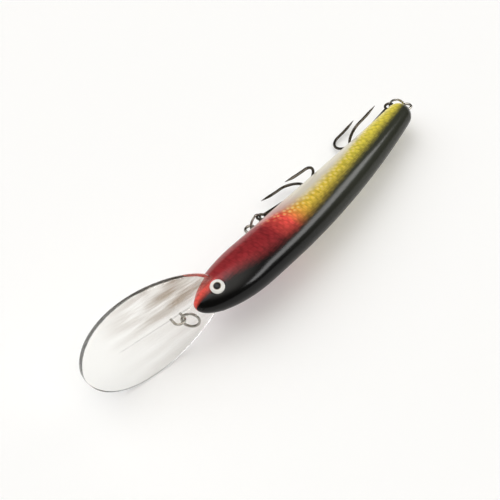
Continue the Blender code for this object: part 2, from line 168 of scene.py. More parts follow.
class LipSizes(bpy.types.PropertyGroup):
    """Sizes of the diving lip and its line tie."""
    length: length("Length", "Root end to tip", 0.0555)
    width: length("Width", "Widest place", 0.0382)
    thickness: length("Thickness", "Plate", 0.0022)
    edge: length("Edge", "Radius of the rounded rim", 0.0009)
    egg: number("Egg", "How far the widest place lies forward", 0.19)
    lean: angle("Lean", "Plate below the lure's chord", 13.2)
    drop: length("Drop", "Plate below the nose tip", 0.0030)
    root: length("Root", "Depth of the root behind the nose tip", 0.0130)
    rib_start: length("Rib start", "Gap from the nose to the centre rib", 0.0015)
    rib_length: length("Rib length", "Length of the centre rib", 0.0280)
    rib_width: length("Rib width", "Width of the centre rib", 0.0017)
    rib_height: length("Rib height", "Rise of the centre rib", 0.0004)
    tie_ahead: length("Tie ahead", "Line tie in front of the nose", 0.0064)
    tie_radius: length("Tie radius", "Line tie's bend, to the wire's middle", 0.0019)
    tie_stand: length("Tie stand", "Middle of the bend over the plate", 0.0016)
    tie_wire: length("Tie wire", "Radius of the line tie's wire", 0.00045)


class TackleSizes(bpy.types.PropertyGroup):
    """Sizes and resting angles of the hangers, split rings and trebles."""
    hanger_x: length("Belly hanger", "Belly hanger behind the nose tip", 0.0394)
    belly_stand: length("Belly stand", "Loop's middle below the belly", 0.0022)
    hanger_radius: length("Hanger radius", "Loop, to the wire's middle", 0.00175)
    hanger_wire: length("Hanger wire", "Wire radius", 0.0005)
    hanger_depth: length("Hanger depth", "Legs inside the body", 0.0060)
    ring_radius: length("Ring radius", "Treble's split ring, to its middle", 0.0030)
    line_ring_radius: length("Line ring radius", "Line tie's split ring", 0.0030)
    ring_wire: length("Ring wire", "Half width of the ring's flat wire", 0.0004)
    ring_leaf: length("Ring leaf", "Half thickness of one coil", 0.00021)
    play: length("Play", "Slack between two linked wires", 0.00015)
    treble: length("Treble", "Split ring to the bottom of the bends", 0.0270)
    bend: length("Bend", "Radius of a hook's bend", 0.00535)
    bite: length("Bite", "Bend to point", 0.0108)
    hook_wire: length("Hook wire", "Wire radius", 0.00055)
    shank: length("Shank", "Radius of the brazed shank", 0.00085)
    eye_radius: length("Eye radius", "Treble's eye, to the wire's middle", 0.00155)
    eye_wire: length("Eye wire", "Wire radius", 0.0005)
    point: length("Point", "Length of the ground point", 0.0042)
    barb: length("Barb", "Length of the barb", 0.0019)
    curl: length("Curl", "How far the point's leg bows inwards", 0.00035)
    belly_ring_lean: angle("Belly ring lean", "0 to the tail, 90 to the belly", 6.0)
    belly_lean: angle("Belly treble lean", "0 to the tail, 90 to the belly", -4.9)
    belly_droop: angle("Belly treble droop", "Towards the table", 8.0)
    belly_spin: angle("Belly treble spin", "About its shank", 41.6)
    tail_ring_lean: angle("Tail ring lean", "0 to the tail, 90 to the belly", 112.0)
    tail_lean: angle("Tail treble lean", "0 to the tail, 90 to the belly", 177.7)
    tail_droop: angle("Tail treble droop", "Towards the table", 9.0)
    tail_spin: angle("Tail treble spin", "About its shank", 16.4)
    line_ring_lean: angle("Line ring lean", "0 to the tail, 90 to the belly", -58.0)


class Finishes(bpy.types.PropertyGroup):
    """Colours of the lure and its table."""
    red: colour("Red", "Head and front flank", "8f292d")
    # Coral where red runs into gold is paint; the same brighter red at the nose tip is a painted highlight
    coral_and_nose_highlight: colour("Coral and nose highlight", "Brighter red at the nose and before the gold", "ee584d")
    orange: colour("Orange", "Where red runs into gold", "e2a846")
    gold: colour("Gold", "Rear flank", "e6c44a")
    yellow: colour("Yellow", "Flank near the tail", "e3d24e")
    pearl: colour("Pearl", "Belly", "e4ddcb")
    # Painted glints: the foil's scales catching the light, painted as bright spots in the print's cells
    blush: colour("Blush", "Belly under the red", "c99a94")
    painted_glint: colour("Painted glint", "Bright spots of the scale print", "f6e08c")
    black: colour("Black", "Head and front of the back", "0a0a09")
    # Painted sheen: the back lifted to grey-green towards the tail, standing in for its reflection of the
    # room
    black_with_painted_sheen: colour("Black with painted sheen", "Back towards the tail", "373930")
    plastic: colour("Lip plastic", "Clear plastic", "fefefc")
    # Painted shade: smoky marks in the lip near the head, on its right half
    painted_lip_shade: colour("Painted lip shade", "Painted shade in the clear plastic near the head", "a0907e")
    wire: colour("Wire", "Hangers and line tie", "b5b0a6")
    nickel: colour("Nickel", "Split rings", "a39f97")
    hook: colour("Hook", "Black nickel", "524c44")
    eye: colour("Eye", "White of the eye", "f4f3ee")
    iris: colour("Iris", "Thin ring around the pupil", "9b8a70")
    pupil: colour("Pupil", "Middle of the eye", "080808")
    lead: colour("Lead", "Ballast slugs", "6d6d70")
    steel: colour("Steel", "Rattle ball", "b8b8ba")
    table: colour("Table", "Pale table", "e3e3e2")
    glow: colour("Glow", "White that the table shows", "fcfcfb")


class StageSettings(bpy.types.PropertyGroup):
    """Camera and light."""
    azimuth: angle("Azimuth", "Camera's bearing", -50.681)
    elevation: angle("Elevation", "Camera's height angle", 55.270)
    tilt: angle("Tilt", "Camera's roll", -0.612)
    distance: length("Distance", "Camera to its target", 0.3643)
    target: FloatVectorProperty(name="Target", description="Looked-at point from the nose tip", size=3,
                                default=(0.035106, 0.005757, -0.010369), subtype="TRANSLATION")
    lens: number("Lens", "Focal length in millimetres", 73.6)
    key: number("Key", "Strength of the lamp", 1.25)
    key_colour: colour("Key colour", "Colour of the lamp", "f2f7ff")
    key_bearing: angle("Key bearing", "Bearing the lamp shines from", 118.0)
    key_height: angle("Key height", "Height angle of the lamp", 54.0)
    key_size: angle("Key size", "Angle that the soft lamp fills", 66.0)
    room: number("Room", "Strength of the light from all round", 1.0)
    room_colour: colour("Room colour", "Colour of the light from all round", "fffbf5")
    room_lean: number("Room lean", "How much lower the room is seen at its sides", 0.55)
    room_low: number("Room low", "Height where the dim walls end", 0.4)
    room_high: number("Room high", "Height where it is brightest", 1.0)
    room_dim: number("Room dim", "Level of the walls", 0.1)
    room_bright: number("Room bright", "Level overhead", 2.35)
    room_through: number("Room through", "Level seen through the clear lip", 0.85)
    strip: number("Strip", "Radiance of the strip lamp over the back", 9.0)
    strip_bearing: angle("Strip bearing", "Bearing the strip lamp shines from", -50.7)
    strip_height: angle("Strip height", "Height angle of the strip lamp", 32.0)
    strip_turn: angle("Strip turn", "Turns the strip along the lure", 10.0)
    strip_away: length("Strip distance", "Strip lamp to the lure's middle", 0.8)
    strip_length: length("Strip length", "Long side of the strip lamp", 0.9)
    strip_width: length("Strip width", "Short side of the strip lamp", 0.18)
    table_size: length("Table size", "Half width of the table", 10.0)
    table_glow: number("Table glow", "Glow that the camera sees on the table", 0.24)


# Shapes: each is a pair, its points and a list of face arrays


def surface(rings, poles=None, closed=False):
    """Skin over a grid of rings: each ring joins the next, and pole points close the two ends."""
    rows, columns = rings.shape[:2]
    points = rings.reshape(-1, 3)
    row = np.arange(rows if closed else rows - 1)[:, None]
    column = np.arange(columns)[None, :]
    here = row * columns + column
    beside = row * columns + (column + 1) % columns
    there = (row + 1) % rows * columns + column
    across = (row + 1) % rows * columns + (column + 1) % columns
    faces = [np.stack([here, beside, across, there], -1).reshape(-1, 4)]
    if poles is not None:
        first = np.full(columns, len(points))
        ring = np.arange(columns)
        after = (ring + 1) % columns
        last = (rows - 1) * columns
        faces.append(np.stack([first, after, ring], -1))
        faces.append(np.stack([first + 1, last + ring, last + after], -1))
        points = np.concatenate([points, np.asarray(poles)])
    return outward(points, faces)


def outward(points, faces):
    """Turns all faces round if the signed volume that they close is negative."""
    middle = points - points.mean(0)
    corner, second, third = (middle[faces[0][:, i]] for i in (0, 1, 2))
    fourth = middle[faces[0][:, 3]]
    volume = (np.cross(second, third) * corner).sum() + (np.cross(third, fourth) * corner).sum()
    return points, faces if volume > 0 else [face[:, ::-1] for face in faces]


def tube(path, flat, half_side, half_flat=None, closed=False):
    """Wire: an oval carried along a path, half_side across it and half_flat along the flat's normal."""
    step = np.roll(path, -1, 0) - np.roll(path, 1, 0) if closed else np.gradient(path, axis=0)
    side = np.cross(flat, step)
    side /= np.linalg.norm(side, axis=1, keepdims=True)
    turn = np.linspace(0, 2 * np.pi, WIRE_SIDES, endpoint=False)
    half_side = np.broadcast_to(half_side, len(path))[:, None, None]
    half_flat = half_side if half_flat is None else half_flat
    oval = half_side * np.cos(turn)[None, :, None] * side[:, None]
    rings = path[:, None] + oval + half_flat * np.sin(turn)[None, :, None] * np.asarray(flat)
    return surface(rings, None if closed else path[[0, -1]], closed)


def turned(profile):
    """Profile of (radius, height) points turned about z; its two ends lie on the axis."""
    turn = np.linspace(0, 2 * np.pi, TURNED_STEPS, endpoint=False)
    radius, height = profile[1:-1].T
    flat = np.stack([np.cos(turn), np.sin(turn), np.zeros_like(turn)], -1)
    rings = radius[:, None, None] * flat + height[:, None, None] * np.array([0, 0, 1])
    return surface(rings, [(0, 0, profile[0, 1]), (0, 0, profile[-1, 1])])


def moved(shape, turn, origin):
    """Shape turned by a 3 by 3 matrix and then carried to its origin."""
    points, faces = shape
    return points @ np.asarray(turn).T + np.asarray(origin), faces


def joined(shapes):
    """Several shapes as one list of points and faces."""
    points, faces, count = [], [], 0
    for part_points, part_faces in shapes:
        points.append(part_points)
        faces += [face + count for face in part_faces]
        count += len(part_points)
    return np.concatenate(points), faces


def spin(axis, turn):
    """Rotation about x, y or z as a 3 by 3 array."""
    return np.array(Matrix.Rotation(turn, 3, axis))


def smooth(low, high, value):
    """Smoothstep from 0 at low to 1 at high."""
    t = np.clip((value - low) / (high - low), 0, 1)
    return t * t * (3 - 2 * t)


def add_piece(name, shape, material, body, nodes, attribute=None):
    """Puts a shape into a mesh at the origin, rides it on its body and stands it for its CAD nodes."""
    points, faces = shape
    mesh = bpy.data.meshes.new(name)
    mesh.from_pydata(points.tolist(), [], [face for part in faces for face in part.tolist()])
    mesh.shade_smooth()
    mesh.materials.append(material)
    if attribute is not None:
        label, values = attribute
        layer = mesh.attributes.new(label, "FLOAT_VECTOR", "POINT")
        layer.data.foreach_set("vector", np.asarray(values, np.float32).ravel())
    piece = bpy.data.objects.new(name, mesh)
    bpy.context.scene.collection.objects.link(piece)
    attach(piece, body)
    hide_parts(*nodes)
    return piece


# Body form


def centre_height(body, x):
    """Parabola: nothing at both ends and the bow at mid-length."""
    u = x / body.length
    return 4 * body.bow * u * (1 - u)


def half_section(body, x):
    """Half width and half height: elliptic ends times a power taper from the middle to the tail."""
    nose = 1 - np.minimum(x / body.nose, 1)
    tail = np.maximum(x - (body.length - body.tail_cap), 0) / body.tail_cap
    ends = np.sqrt(np.maximum(1 - nose ** 2, 0)) * np.sqrt(np.maximum(1 - tail ** 2, 0))
    t = (np.maximum(x - body.taper_start, 0) / (body.length - body.taper_start)) ** body.taper_power
    width = body.width + (body.tail_width - body.width) * t
    height = body.height + (body.tail_height - body.height) * t
    return ends * width / 2, ends * height / 2


def lean_direction(lean):
    return np.array([math.cos(lean), 0, -math.sin(lean)])


def hanger_slack(tackle):
    return tackle.hanger_radius - tackle.hanger_wire - tackle.ring_wire - tackle.play


def lay_of(scene):
    """Axes of the lying lure in the row frame, and its nose tip, found from the belly ring's joint."""
    body, tackle = scene.lure_body, scene.lure_tackle
    axes = spin("Y", body.pitch) @ spin("X", body.roll)
    x = np.array([tackle.hanger_x])
    belly = centre_height(body, x) - half_section(body, x)[1] - tackle.belly_stand
    crossing = np.array([tackle.hanger_x, 0, belly[0]])
    crossing = crossing + lean_direction(tackle.belly_ring_lean) * hanger_slack(tackle)
    return axes, np.array(JOINTS["belly_ring_swing"]["pos_m"]) - axes @ crossing


def lip_frame(lip):
    """Axes and origin of the lip in the lure frame: its plane leans down in front of the nose."""
    return spin("Y", -lip.lean), np.array([0, 0, -lip.drop])


def eye_frame(body, eye, side):
    """Axes and origin on the flank at the eye: z is the surface normal, from two short tangents."""
    def flank(x, up):
        half_width, half_height = half_section(body, np.array(x))
        y = half_width * math.sqrt(1 - (up / half_height) ** 2)
        return np.array([x, side * y, centre_height(body, x) + up])
    step = MILLIMETRE / 100
    here = flank(eye.along, eye.up)
    along = flank(eye.along + step, eye.up) - here
    rise = flank(eye.along, eye.up + step) - here
    axes = [along, np.cross(np.cross(rise, along) * side, along), np.cross(rise, along) * side]
    axes = np.stack([axis / np.linalg.norm(axis) for axis in axes], -1)
    return axes, here


def body_skin(body, eye):
    """Oval rings from nose to tail, close together at both ends, sunk a little around each eye.

    The second value gives each point's place for the paint: millimetres along the body, millimetres
    from the lateral line towards the back, and degrees above the lateral line.
    """
    run = np.linspace(0, np.pi, BODY_ROWS + 2)[1:-1]
    x = body.length * (1 - np.cos(run)) / 2
    turn = np.linspace(0, 2 * np.pi, BODY_COLUMNS, endpoint=False)
    half_width, half_height = half_section(body, x)
    rings = np.stack(np.broadcast_arrays(
        x[:, None], half_width[:, None] * np.cos(turn),
        centre_height(body, x)[:, None] + half_height[:, None] * np.sin(turn)), -1)
    for side in (1, -1):
        axes, centre = eye_frame(body, eye, side)
        away = np.linalg.norm(rings - centre, axis=-1)
        edge = eye.diameter / 2
        rings = rings - (eye.sink * (1 - smooth(edge, edge + eye.rim, away)))[..., None] * axes[:, 2]
    rise = np.arcsin(np.sin(turn))[None, :]
    arc = rise * ((half_width + half_height) / 2)[:, None] / MILLIMETRE
    print_place = np.stack(np.broadcast_arrays(x[:, None] / MILLIMETRE, arc, np.degrees(rise)), -1)
    poles = np.array([[0, 0, 0], [body.length / MILLIMETRE, 0, 0]])
    return (surface(rings, [(0, 0, 0), (body.length, 0, 0)]),
            np.concatenate([print_place.reshape(-1, 3), poles]))


def lip_plate(lip):
    """Egg-shaped plate, ring by ring from tip to root.

    At turn t the ring lies at root - half (1 + cos t) with half width b sin t (1 + egg cos t). Each
    ring runs over the top face, round one edge, back under the bottom face and round the other edge.
    The rib rises from the top face along the middle.
    """
    wide = (math.sqrt(1 + 8 * lip.egg ** 2) - 1) / (4 * lip.egg)
    b = lip.width / 2 / (math.sqrt(1 - wide ** 2) * (1 + lip.egg * wide))
    t = np.linspace(0, np.pi, LIP_ROWS + 2)[1:-1]
    x = lip.root - lip.length / 2 * (1 + np.cos(t))
    half = b * np.sin(t) * (1 + lip.egg * np.cos(t))
    edge = np.minimum(lip.edge, half)
    thick = lip.thickness / 2 * np.sqrt(edge / lip.edge)
    even = np.linspace(1, -1, LIP_COLUMNS)
    face = LIP_EVEN * even + (1 - LIP_EVEN) * even ** 3
    arc = np.linspace(0, np.pi, LIP_EDGE_STEPS + 2)[1:-1]
    none = np.zeros_like(face)
    ones = np.ones_like(arc)
    across = np.concatenate([face, -ones, -face, ones])
    bulge = np.concatenate([none, -np.sin(arc), none, np.sin(arc)])
    level = np.concatenate([none + 1, np.cos(arc), none - 1, -np.cos(arc)])
    y = across * (half - edge)[:, None] + bulge * edge[:, None]
    rib_end = -lip.rib_start - lip.rib_length
    rounding = lip.rib_width * RIB_ROUNDING
    rib = smooth(-lip.rib_width / 2 - rounding, -lip.rib_width / 2 + rounding, -np.abs(y))
    rib_run = smooth(rib_end, rib_end + lip.rib_width, x) - smooth(-lip.rib_start, lip.rib_start, x)
    z = level * thick[:, None] + lip.rib_height * rib * rib_run[:, None] * (level == 1)
    rings = np.stack(np.broadcast_arrays(x[:, None], y, z), -1)
    return surface(rings, [(lip.root - lip.length, 0, 0), (lip.root, 0, 0)])


def staple(lip):
    """Line tie: two straight legs through the plate and a half circle between them."""
    turn = np.linspace(0, np.pi, LOOP_STEPS // 2)
    middle = lip.thickness / 2 + lip.tie_stand
    arch = np.stack([-lip.tie_radius * np.cos(turn), 0 * turn, middle + lip.tie_radius * np.sin(turn)], -1)
    feet = np.array([[-lip.tie_radius, 0, 0], [lip.tie_radius, 0, 0]])
    path = np.concatenate([feet[:1], arch, feet[1:]]) - np.array([lip.tie_ahead, 0, 0])
    return tube(path, (0, 1, 0), lip.tie_wire)


def split_ring(radius, tackle):
    """Two flat coils side by side: the wire goes twice round and steps across in the middle."""
    turn = np.linspace(RING_END_GAP, 4 * np.pi - RING_END_GAP, 2 * LOOP_STEPS)
    across = smooth((2 - RING_STEP) * np.pi, (2 + RING_STEP) * np.pi, turn)
    shift = tackle.ring_leaf * COIL_SPACING * (2 * across - 1)
    path = np.stack([radius * (1 - np.cos(turn + np.pi / 2)), radius * np.sin(turn + np.pi / 2), shift], -1)
    return tube(path, (0, 0, 1), tackle.ring_wire * COIL_TRIM, tackle.ring_leaf)


def eyelet(tackle):
    """Hanger: one leg down, most of a circle about the origin, and the other leg back up."""
    start = math.asin(tackle.hanger_wire / tackle.hanger_radius)
    turn = np.linspace(start, 2 * np.pi - start, LOOP_STEPS)
    loop = tackle.hanger_radius * np.stack([np.sin(turn), 0 * turn, np.cos(turn)], -1)
    top = tackle.hanger_radius + tackle.hanger_depth
    legs = np.array([[tackle.hanger_wire, 0, top], [-tackle.hanger_wire, 0, top]])
    return tube(np.concatenate([legs[:1], loop, legs[1:]]), (0, 1, 0), tackle.hanger_wire)


def hook(tackle, turn):
    """One hook: straight along the shank, half round the bend, back to a ground point, and its barb."""
    start = 2 * tackle.eye_radius - tackle.eye_wire - tackle.ring_wire - tackle.play
    bottom = tackle.treble - tackle.bend
    inner = tackle.shank - tackle.hook_wire
    outer = inner + 2 * tackle.bend
    arc = np.linspace(0, np.pi, BEND_STEPS + 2)[1:-1]
    shank = np.linspace(start, bottom, SHANK_STEPS)
    point = np.linspace(bottom, bottom - tackle.bite, POINT_STEPS)
    along = np.concatenate([shank, bottom + tackle.bend * np.sin(arc), point])
    reach = np.linspace(0, 1, len(point))
    curl = tackle.curl * np.sin(np.pi * reach)
    out = np.concatenate([np.full(len(shank), inner), inner + tackle.bend * (1 - np.cos(arc)), outer - curl])
    left = np.concatenate([np.full(len(along) - len(point), tackle.bite), tackle.bite * (1 - reach)])
    ground = np.clip(left / tackle.point, 0, 1)
    radii = tackle.hook_wire * (TIP_SHARE + (1 - TIP_SHARE) * ground ** GRIND_POWER)
    rise = np.array([0, -math.sin(turn), math.cos(turn)])
    ahead = np.array([1.0, 0, 0])
    flat = np.cross(ahead, rise)
    wire = tube(along[:, None] * ahead + out[:, None] * rise, flat, radii)
    lift = np.linspace(0, 1, BARB_STEPS)
    barb_along = bottom - tackle.bite + tackle.point * BARB_PLACE + tackle.barb * lift
    barb_out = outer - tackle.hook_wire * (BARB_ROOT + BARB_RISE * lift)
    barb = tube(barb_along[:, None] * ahead + barb_out[:, None] * rise, flat,
                tackle.hook_wire * (BARB_THICK - (BARB_THICK - TIP_SHARE) * lift))
    return [wire, barb]


def treble(tackle, first):
    """Three hooks a third of a turn apart around one shank, and the eye that joins them."""
    middle = tackle.eye_radius - tackle.eye_wire - tackle.ring_wire - tackle.play
    turn = np.linspace(0, 2 * np.pi, LOOP_STEPS, endpoint=False)
    ring = tackle.eye_radius * np.stack([np.cos(turn), 0 * turn, np.sin(turn)], -1)
    shapes = [tube(ring + np.array([middle, 0, 0]), (0, 1, 0), tackle.eye_wire, closed=True)]
    for third in range(3):
        shapes += hook(tackle, first + third * 2 * np.pi / 3)
    return joined(shapes)


def eye_disc(body, eye):
    """Domed disc: a power curve from crown to rim, then a straight wall down to its seat."""
    radius = eye.diameter / 2
    sag = radius ** 2 / body.width
    reach = np.linspace(0, 1, DOME_STEPS)
    dome = np.stack([radius * reach, eye.dome - (eye.dome + sag) * reach ** EYE_POWER], -1)
    wall = np.array([[radius, -eye.seat], [0, -eye.seat]])
    return turned(np.concatenate([dome, wall]))


def pupil_dome(eye):
    """Round black bead: an elliptic crown on a short wall let into the disc."""
    turn = np.linspace(np.pi / 2, 0, DOME_STEPS)
    low = eye.dome * PUPIL_FOOT
    crown = np.stack([eye.pupil / 2 * np.cos(turn), low + (eye.pupil_dome - low) * np.sin(turn)], -1)
    return turned(np.concatenate([crown, [[eye.pupil / 2, 0], [0, 0]]]))


# Materials


def add_node(tree, kind, inputs=None, stops=None, curve=None, **settings):
    """Adds a node with its settings, its values or links, and any ramp stops or curve points."""
    node = tree.nodes.new(kind)
    for key, value in settings.items():
        setattr(node, key, value)
    for key, value in (inputs or {}).items():
        if isinstance(value, bpy.types.NodeSocket):
            tree.links.new(value, node.inputs[key])
        else:
            node.inputs[key].default_value = value
    if stops:
        elements = node.color_ramp.elements
        while len(elements) < len(stops):
            elements.new(1.0)
        for element, (place, value) in zip(elements, stops):
            element.position = place
            element.color = value
    if curve:
        points = node.mapping.curves[0].points
        for place in curve[1:-1]:
            points.new(*place)
        points[0].location = curve[0]
        points[len(points) - 1].location = curve[-1]
        node.mapping.update()
    return node


def new_material(name, **values):
    """Material with a Principled shader whose plain values sit on its own sockets."""
    material = bpy.data.materials.new(name)
    material.use_nodes = True
    shader = material.node_tree.nodes["Principled BSDF"]
    for key, value in values.items():
        shader.inputs[key.replace("_", " ").title().replace("Ior", "IOR")].default_value = value
    return material, material.node_tree, shader


def rgba(value):
    return (*value, 1.0)


def noise(tree, place, scale, detail):
    return add_node(tree, "ShaderNodeTexNoise",
                    {"Vector": place, "Scale": scale, "Detail": detail}).outputs["Fac"]


def span(tree, value, limits, to=(0.0, 1.0), eased=True):
    """Value carried from its limits to new ones and held there, with a smoothstep where eased."""
    return add_node(tree, "ShaderNodeMapRange",
                    {"Value": value, "From Min": limits[0], "From Max": limits[1],
                     "To Min": to[0], "To Max": to[1]},
                    interpolation_type="SMOOTHSTEP" if eased else "LINEAR").outputs[0]


def maths(tree, operation, *values):
    return add_node(tree, "ShaderNodeMath", dict(enumerate(values)), operation=operation).outputs[0]


def mixed(tree, share, first, second):
    """Colour that runs from the first to the second with the share."""
    return add_node(tree, "ShaderNodeMix", {0: share, 6: first, 7: second}, data_type="RGBA").outputs[2]


def scaled(tree, vector, share):
    return add_node(tree, "ShaderNodeVectorMath", {0: vector, "Scale": share}, operation="SCALE").outputs[0]


def plug(tree, shader, links):
    """Links each named input of the shader."""
    for key, value in links.items():
        tree.links.new(value, shader.inputs[key])


def lacquered_print(finish, body):
    """Printed foil under clear lacquer: red running to gold, pearl belly and a sprayed black back, with a
    painted highlight on the nose, painted glints in the scales and a painted sheen on the back towards the
    tail.
    """
    material, tree, shader = new_material("lacquered_print", coat_weight=0.65, coat_roughness=0.18,
                                          coat_ior=1.4, specular_ior_level=0.0)
    place = add_node(tree, "ShaderNodeAttribute", attribute_name="print_place").outputs["Vector"]
    parts = add_node(tree, "ShaderNodeSeparateXYZ", {0: place}).outputs
    run = maths(tree, "DIVIDE", parts[0], body.length / MILLIMETRE)
    # Spray speckle about 2 mm wide, and streaks 0.6 mm wide that run across the flank
    spray = noise(tree, place, 0.45, 4.0)
    slant = add_node(tree, "ShaderNodeMapping", {"Vector": place, "Scale": STREAK_SCALE}).outputs[0]
    streak = noise(tree, slant, 1.0, 3.0)
    # Flank colours along the body, darker in the streaks; the brighter red at the nose tip is a painted
    # highlight
    flank = add_node(tree, "ShaderNodeValToRGB", {0: run}, stops=[
        (0.00, rgba(finish.coral_and_nose_highlight)), (0.04, rgba(finish.coral_and_nose_highlight)), (0.09, rgba(finish.red)),
        (0.29, rgba(finish.red)), (0.355, rgba(finish.coral_and_nose_highlight)), (0.405, rgba(finish.orange)),
        (0.445, rgba(finish.gold)), (0.70, rgba(finish.yellow)), (1.00, rgba(finish.yellow))]).outputs[0]
    streaked = scaled(tree, flank, span(tree, streak, (0.35, 0.65), (0.9, 1.22), eased=False))
    # Scale print: a diamond lattice of cells with faint lines between them, which fade on the head
    pitch = math.sqrt(2) / SCALE_PITCH
    lattice = add_node(tree, "ShaderNodeMapping", {"Vector": place, "Rotation": (0, 0, math.pi / 4),
                                                   "Scale": (pitch, pitch, 0)}).outputs[0]
    cell = add_node(tree, "ShaderNodeTexVoronoi", {"Vector": lattice, "Scale": 1.0, "Randomness": 0.55},
                    voronoi_dimensions="2D").outputs["Distance"]
    scaly = span(tree, run, SCALES_START)
    lined = span(tree, cell, (0.3, 0.62), (1.08, 0.84), eased=False)
    lined = add_node(tree, "ShaderNodeMix", {0: scaly, 2: 1.0, 3: lined}).outputs[0]
    netted = scaled(tree, streaked, lined)
    # Sprayed edges: degrees below the belly's line, wandering with the speckle
    wander = maths(tree, "MULTIPLY_ADD", spray, SPRAY_WANDER, parts[2])
    belly_line = add_node(tree, "ShaderNodeFloatCurve", {"Value": run}, curve=BELLY_LINE).outputs[0]
    belly_angle = maths(tree, "MULTIPLY_ADD", belly_line, BELLY_SPAN, BELLY_LOWEST)
    below = maths(tree, "SUBTRACT", belly_angle, wander)
    # Painted glints: bright spots in the scale cells beside the pearl, where the foil catches the light
    beside = maths(tree, "MULTIPLY", span(tree, below, SPOT_BAND), span(tree, run, SPOT_START))
    spots = maths(tree, "MULTIPLY", beside, span(tree, cell, (0.4, 0.1)))
    dotted = mixed(tree, spots, netted, rgba(finish.painted_glint))
    # Pearl belly, pink under the red
    belly = add_node(tree, "ShaderNodeValToRGB", {0: run}, stops=[
        (0.0, rgba(finish.blush)), (0.36, rgba(finish.blush)), (0.46, rgba(finish.pearl)),
        (1.0, rgba(finish.pearl))]).outputs[0]
    sides = mixed(tree, span(tree, below, PEARL_FADE), dotted, belly)
    # Black back, which fades over the colours; towards the tail it is lifted to grey-green, a painted sheen
    back_line = add_node(tree, "ShaderNodeFloatCurve", {"Value": run}, curve=BACK_LINE).outputs[0]
    above = maths(tree, "MULTIPLY_ADD", back_line, -BACK_SPAN, wander)
    dark = span(tree, above, BLACK_FADE)
    back = add_node(tree, "ShaderNodeValToRGB", {0: run}, stops=[
        (0.25, rgba(finish.black)), (0.6, rgba(finish.black_with_painted_sheen))]).outputs[0]
    emboss = add_node(tree, "ShaderNodeBump", {"Height": cell, "Distance": 0.1 * MILLIMETRE,
                                               "Strength": maths(tree, "MULTIPLY", scaly, 0.25)})
    plug(tree, shader, {
        "Base Color": mixed(tree, dark, sides, back),
        "Metallic": span(tree, dark, (0.0, 1.0), (0.25, 0.0), eased=False),
        "Roughness": span(tree, spray, (0.0, 1.0), (0.3, 0.45), eased=False),
        "Normal": emboss.outputs[0]})
    return material


def clear_polycarbonate(finish):
    """Moulded clear polycarbonate with a faint ripple, and smoky marks towards the head that are painted
    shade.
    """
    material, tree, shader = new_material("clear_polycarbonate", ior=1.31, roughness=0.03,
                                          transmission_weight=0.95)
    place = add_node(tree, "ShaderNodeAttribute", attribute_name="lip_place").outputs["Vector"]
    ahead, side = add_node(tree, "ShaderNodeSeparateXYZ", {0: place}).outputs[:2]
    drawn = add_node(tree, "ShaderNodeMapping",
                     {"Vector": place, "Scale": (1 / SHADE_MARK_LENGTH, 1 / SHADE_MARK_WIDTH, 0)}).outputs[0]
    marks = span(tree, noise(tree, drawn, 1.0, 3.0), (0.36, 0.62))
    # Painted shade: the smoky marks fade in towards the nose and on the lip's right half
    painted_lip_shade = maths(tree, "MULTIPLY", marks, span(tree, ahead, SHADE_FADE))
    painted_lip_shade = maths(tree, "MULTIPLY", painted_lip_shade, span(tree, side, SHADE_SIDE, (0.2, 1.0)))
    ripple = add_node(tree, "ShaderNodeBump", {"Height": marks, "Strength": 0.15,
                                               "Distance": 0.1 * MILLIMETRE})
    plug(tree, shader, {"Base Color": mixed(tree, painted_lip_shade, rgba(finish.plastic), rgba(finish.painted_lip_shade)),
                        "Normal": ripple.outputs[0]})
    return material


def metal(name, base, low, high, grain):
    """Metal whose polish varies in patches: roughness from low to high over a grain in metres."""
    material, tree, shader = new_material(name, metallic=1.0)
    place = add_node(tree, "ShaderNodeTexCoord").outputs["Object"]
    patch = noise(tree, place, 1 / grain, 4.0)
    tone = add_node(tree, "ShaderNodeValToRGB", {0: patch}, stops=[
        (0.3, rgba([0.8 * channel for channel in base])), (0.7, rgba(base))]).outputs[0]
    bump = add_node(tree, "ShaderNodeBump", {"Height": patch, "Strength": 0.12,
                                             "Distance": 0.05 * MILLIMETRE})
    plug(tree, shader, {"Base Color": tone, "Normal": bump.outputs[0],
                        "Roughness": span(tree, patch, (0.3, 0.7), (low, high), eased=False)})
    return material


def eye_enamel(finish, eye):
    """White enamel with a thin brown ring printed around the pupil, under a clear dome."""
    material, tree, shader = new_material("eye_enamel", roughness=0.25, coat_weight=0.6, coat_roughness=0.05)
    place = add_node(tree, "ShaderNodeAttribute", attribute_name="eye_place").outputs["Vector"]
    reach = add_node(tree, "ShaderNodeSeparateXYZ", {0: place}).outputs[0]
    inner, outer = (eye.pupil / eye.diameter + edge for edge in IRIS_EDGE)
    ring = add_node(tree, "ShaderNodeValToRGB", {0: reach}, stops=[
        (0.0, rgba(finish.iris)), (inner, rgba(finish.iris)), (outer, rgba(finish.eye)),
        (1.0, rgba(finish.eye))]).outputs[0]
    plug(tree, shader, {"Base Color": ring})
    return material


def pupil_enamel(finish):
    """Black enamel bead, glossy with a slight haze from handling."""
    material, tree, shader = new_material("pupil_enamel", base_color=rgba(finish.pupil),
                                          specular_ior_level=0.25)
    place = add_node(tree, "ShaderNodeTexCoord").outputs["Object"]
    haze = noise(tree, place, 1 / HAZE_GRAIN, 2.0)
    plug(tree, shader, {"Roughness": span(tree, haze, (0.0, 1.0), (0.1, 0.2), eased=False)})
    return material


def white_table(finish, stage):
    """Matt white table that keeps the lure's shadow; it glows a little to the camera, metal and glass."""
    material, tree, shader = new_material("white_table", base_color=rgba(finish.table), roughness=0.9,
                                          specular_ior_level=0.0, emission_color=rgba(finish.glow))
    rays = add_node(tree, "ShaderNodeLightPath").outputs
    seen = rays["Is Camera Ray"]
    for other in ("Is Glossy Ray", "Is Transmission Ray"):
        seen = maths(tree, "MAXIMUM", seen, rays[other])
    plug(tree, shader, {"Emission Strength": maths(tree, "MULTIPLY", seen, stage.table_glow)})
    return material


# Operators: one for each piece or group of like pieces


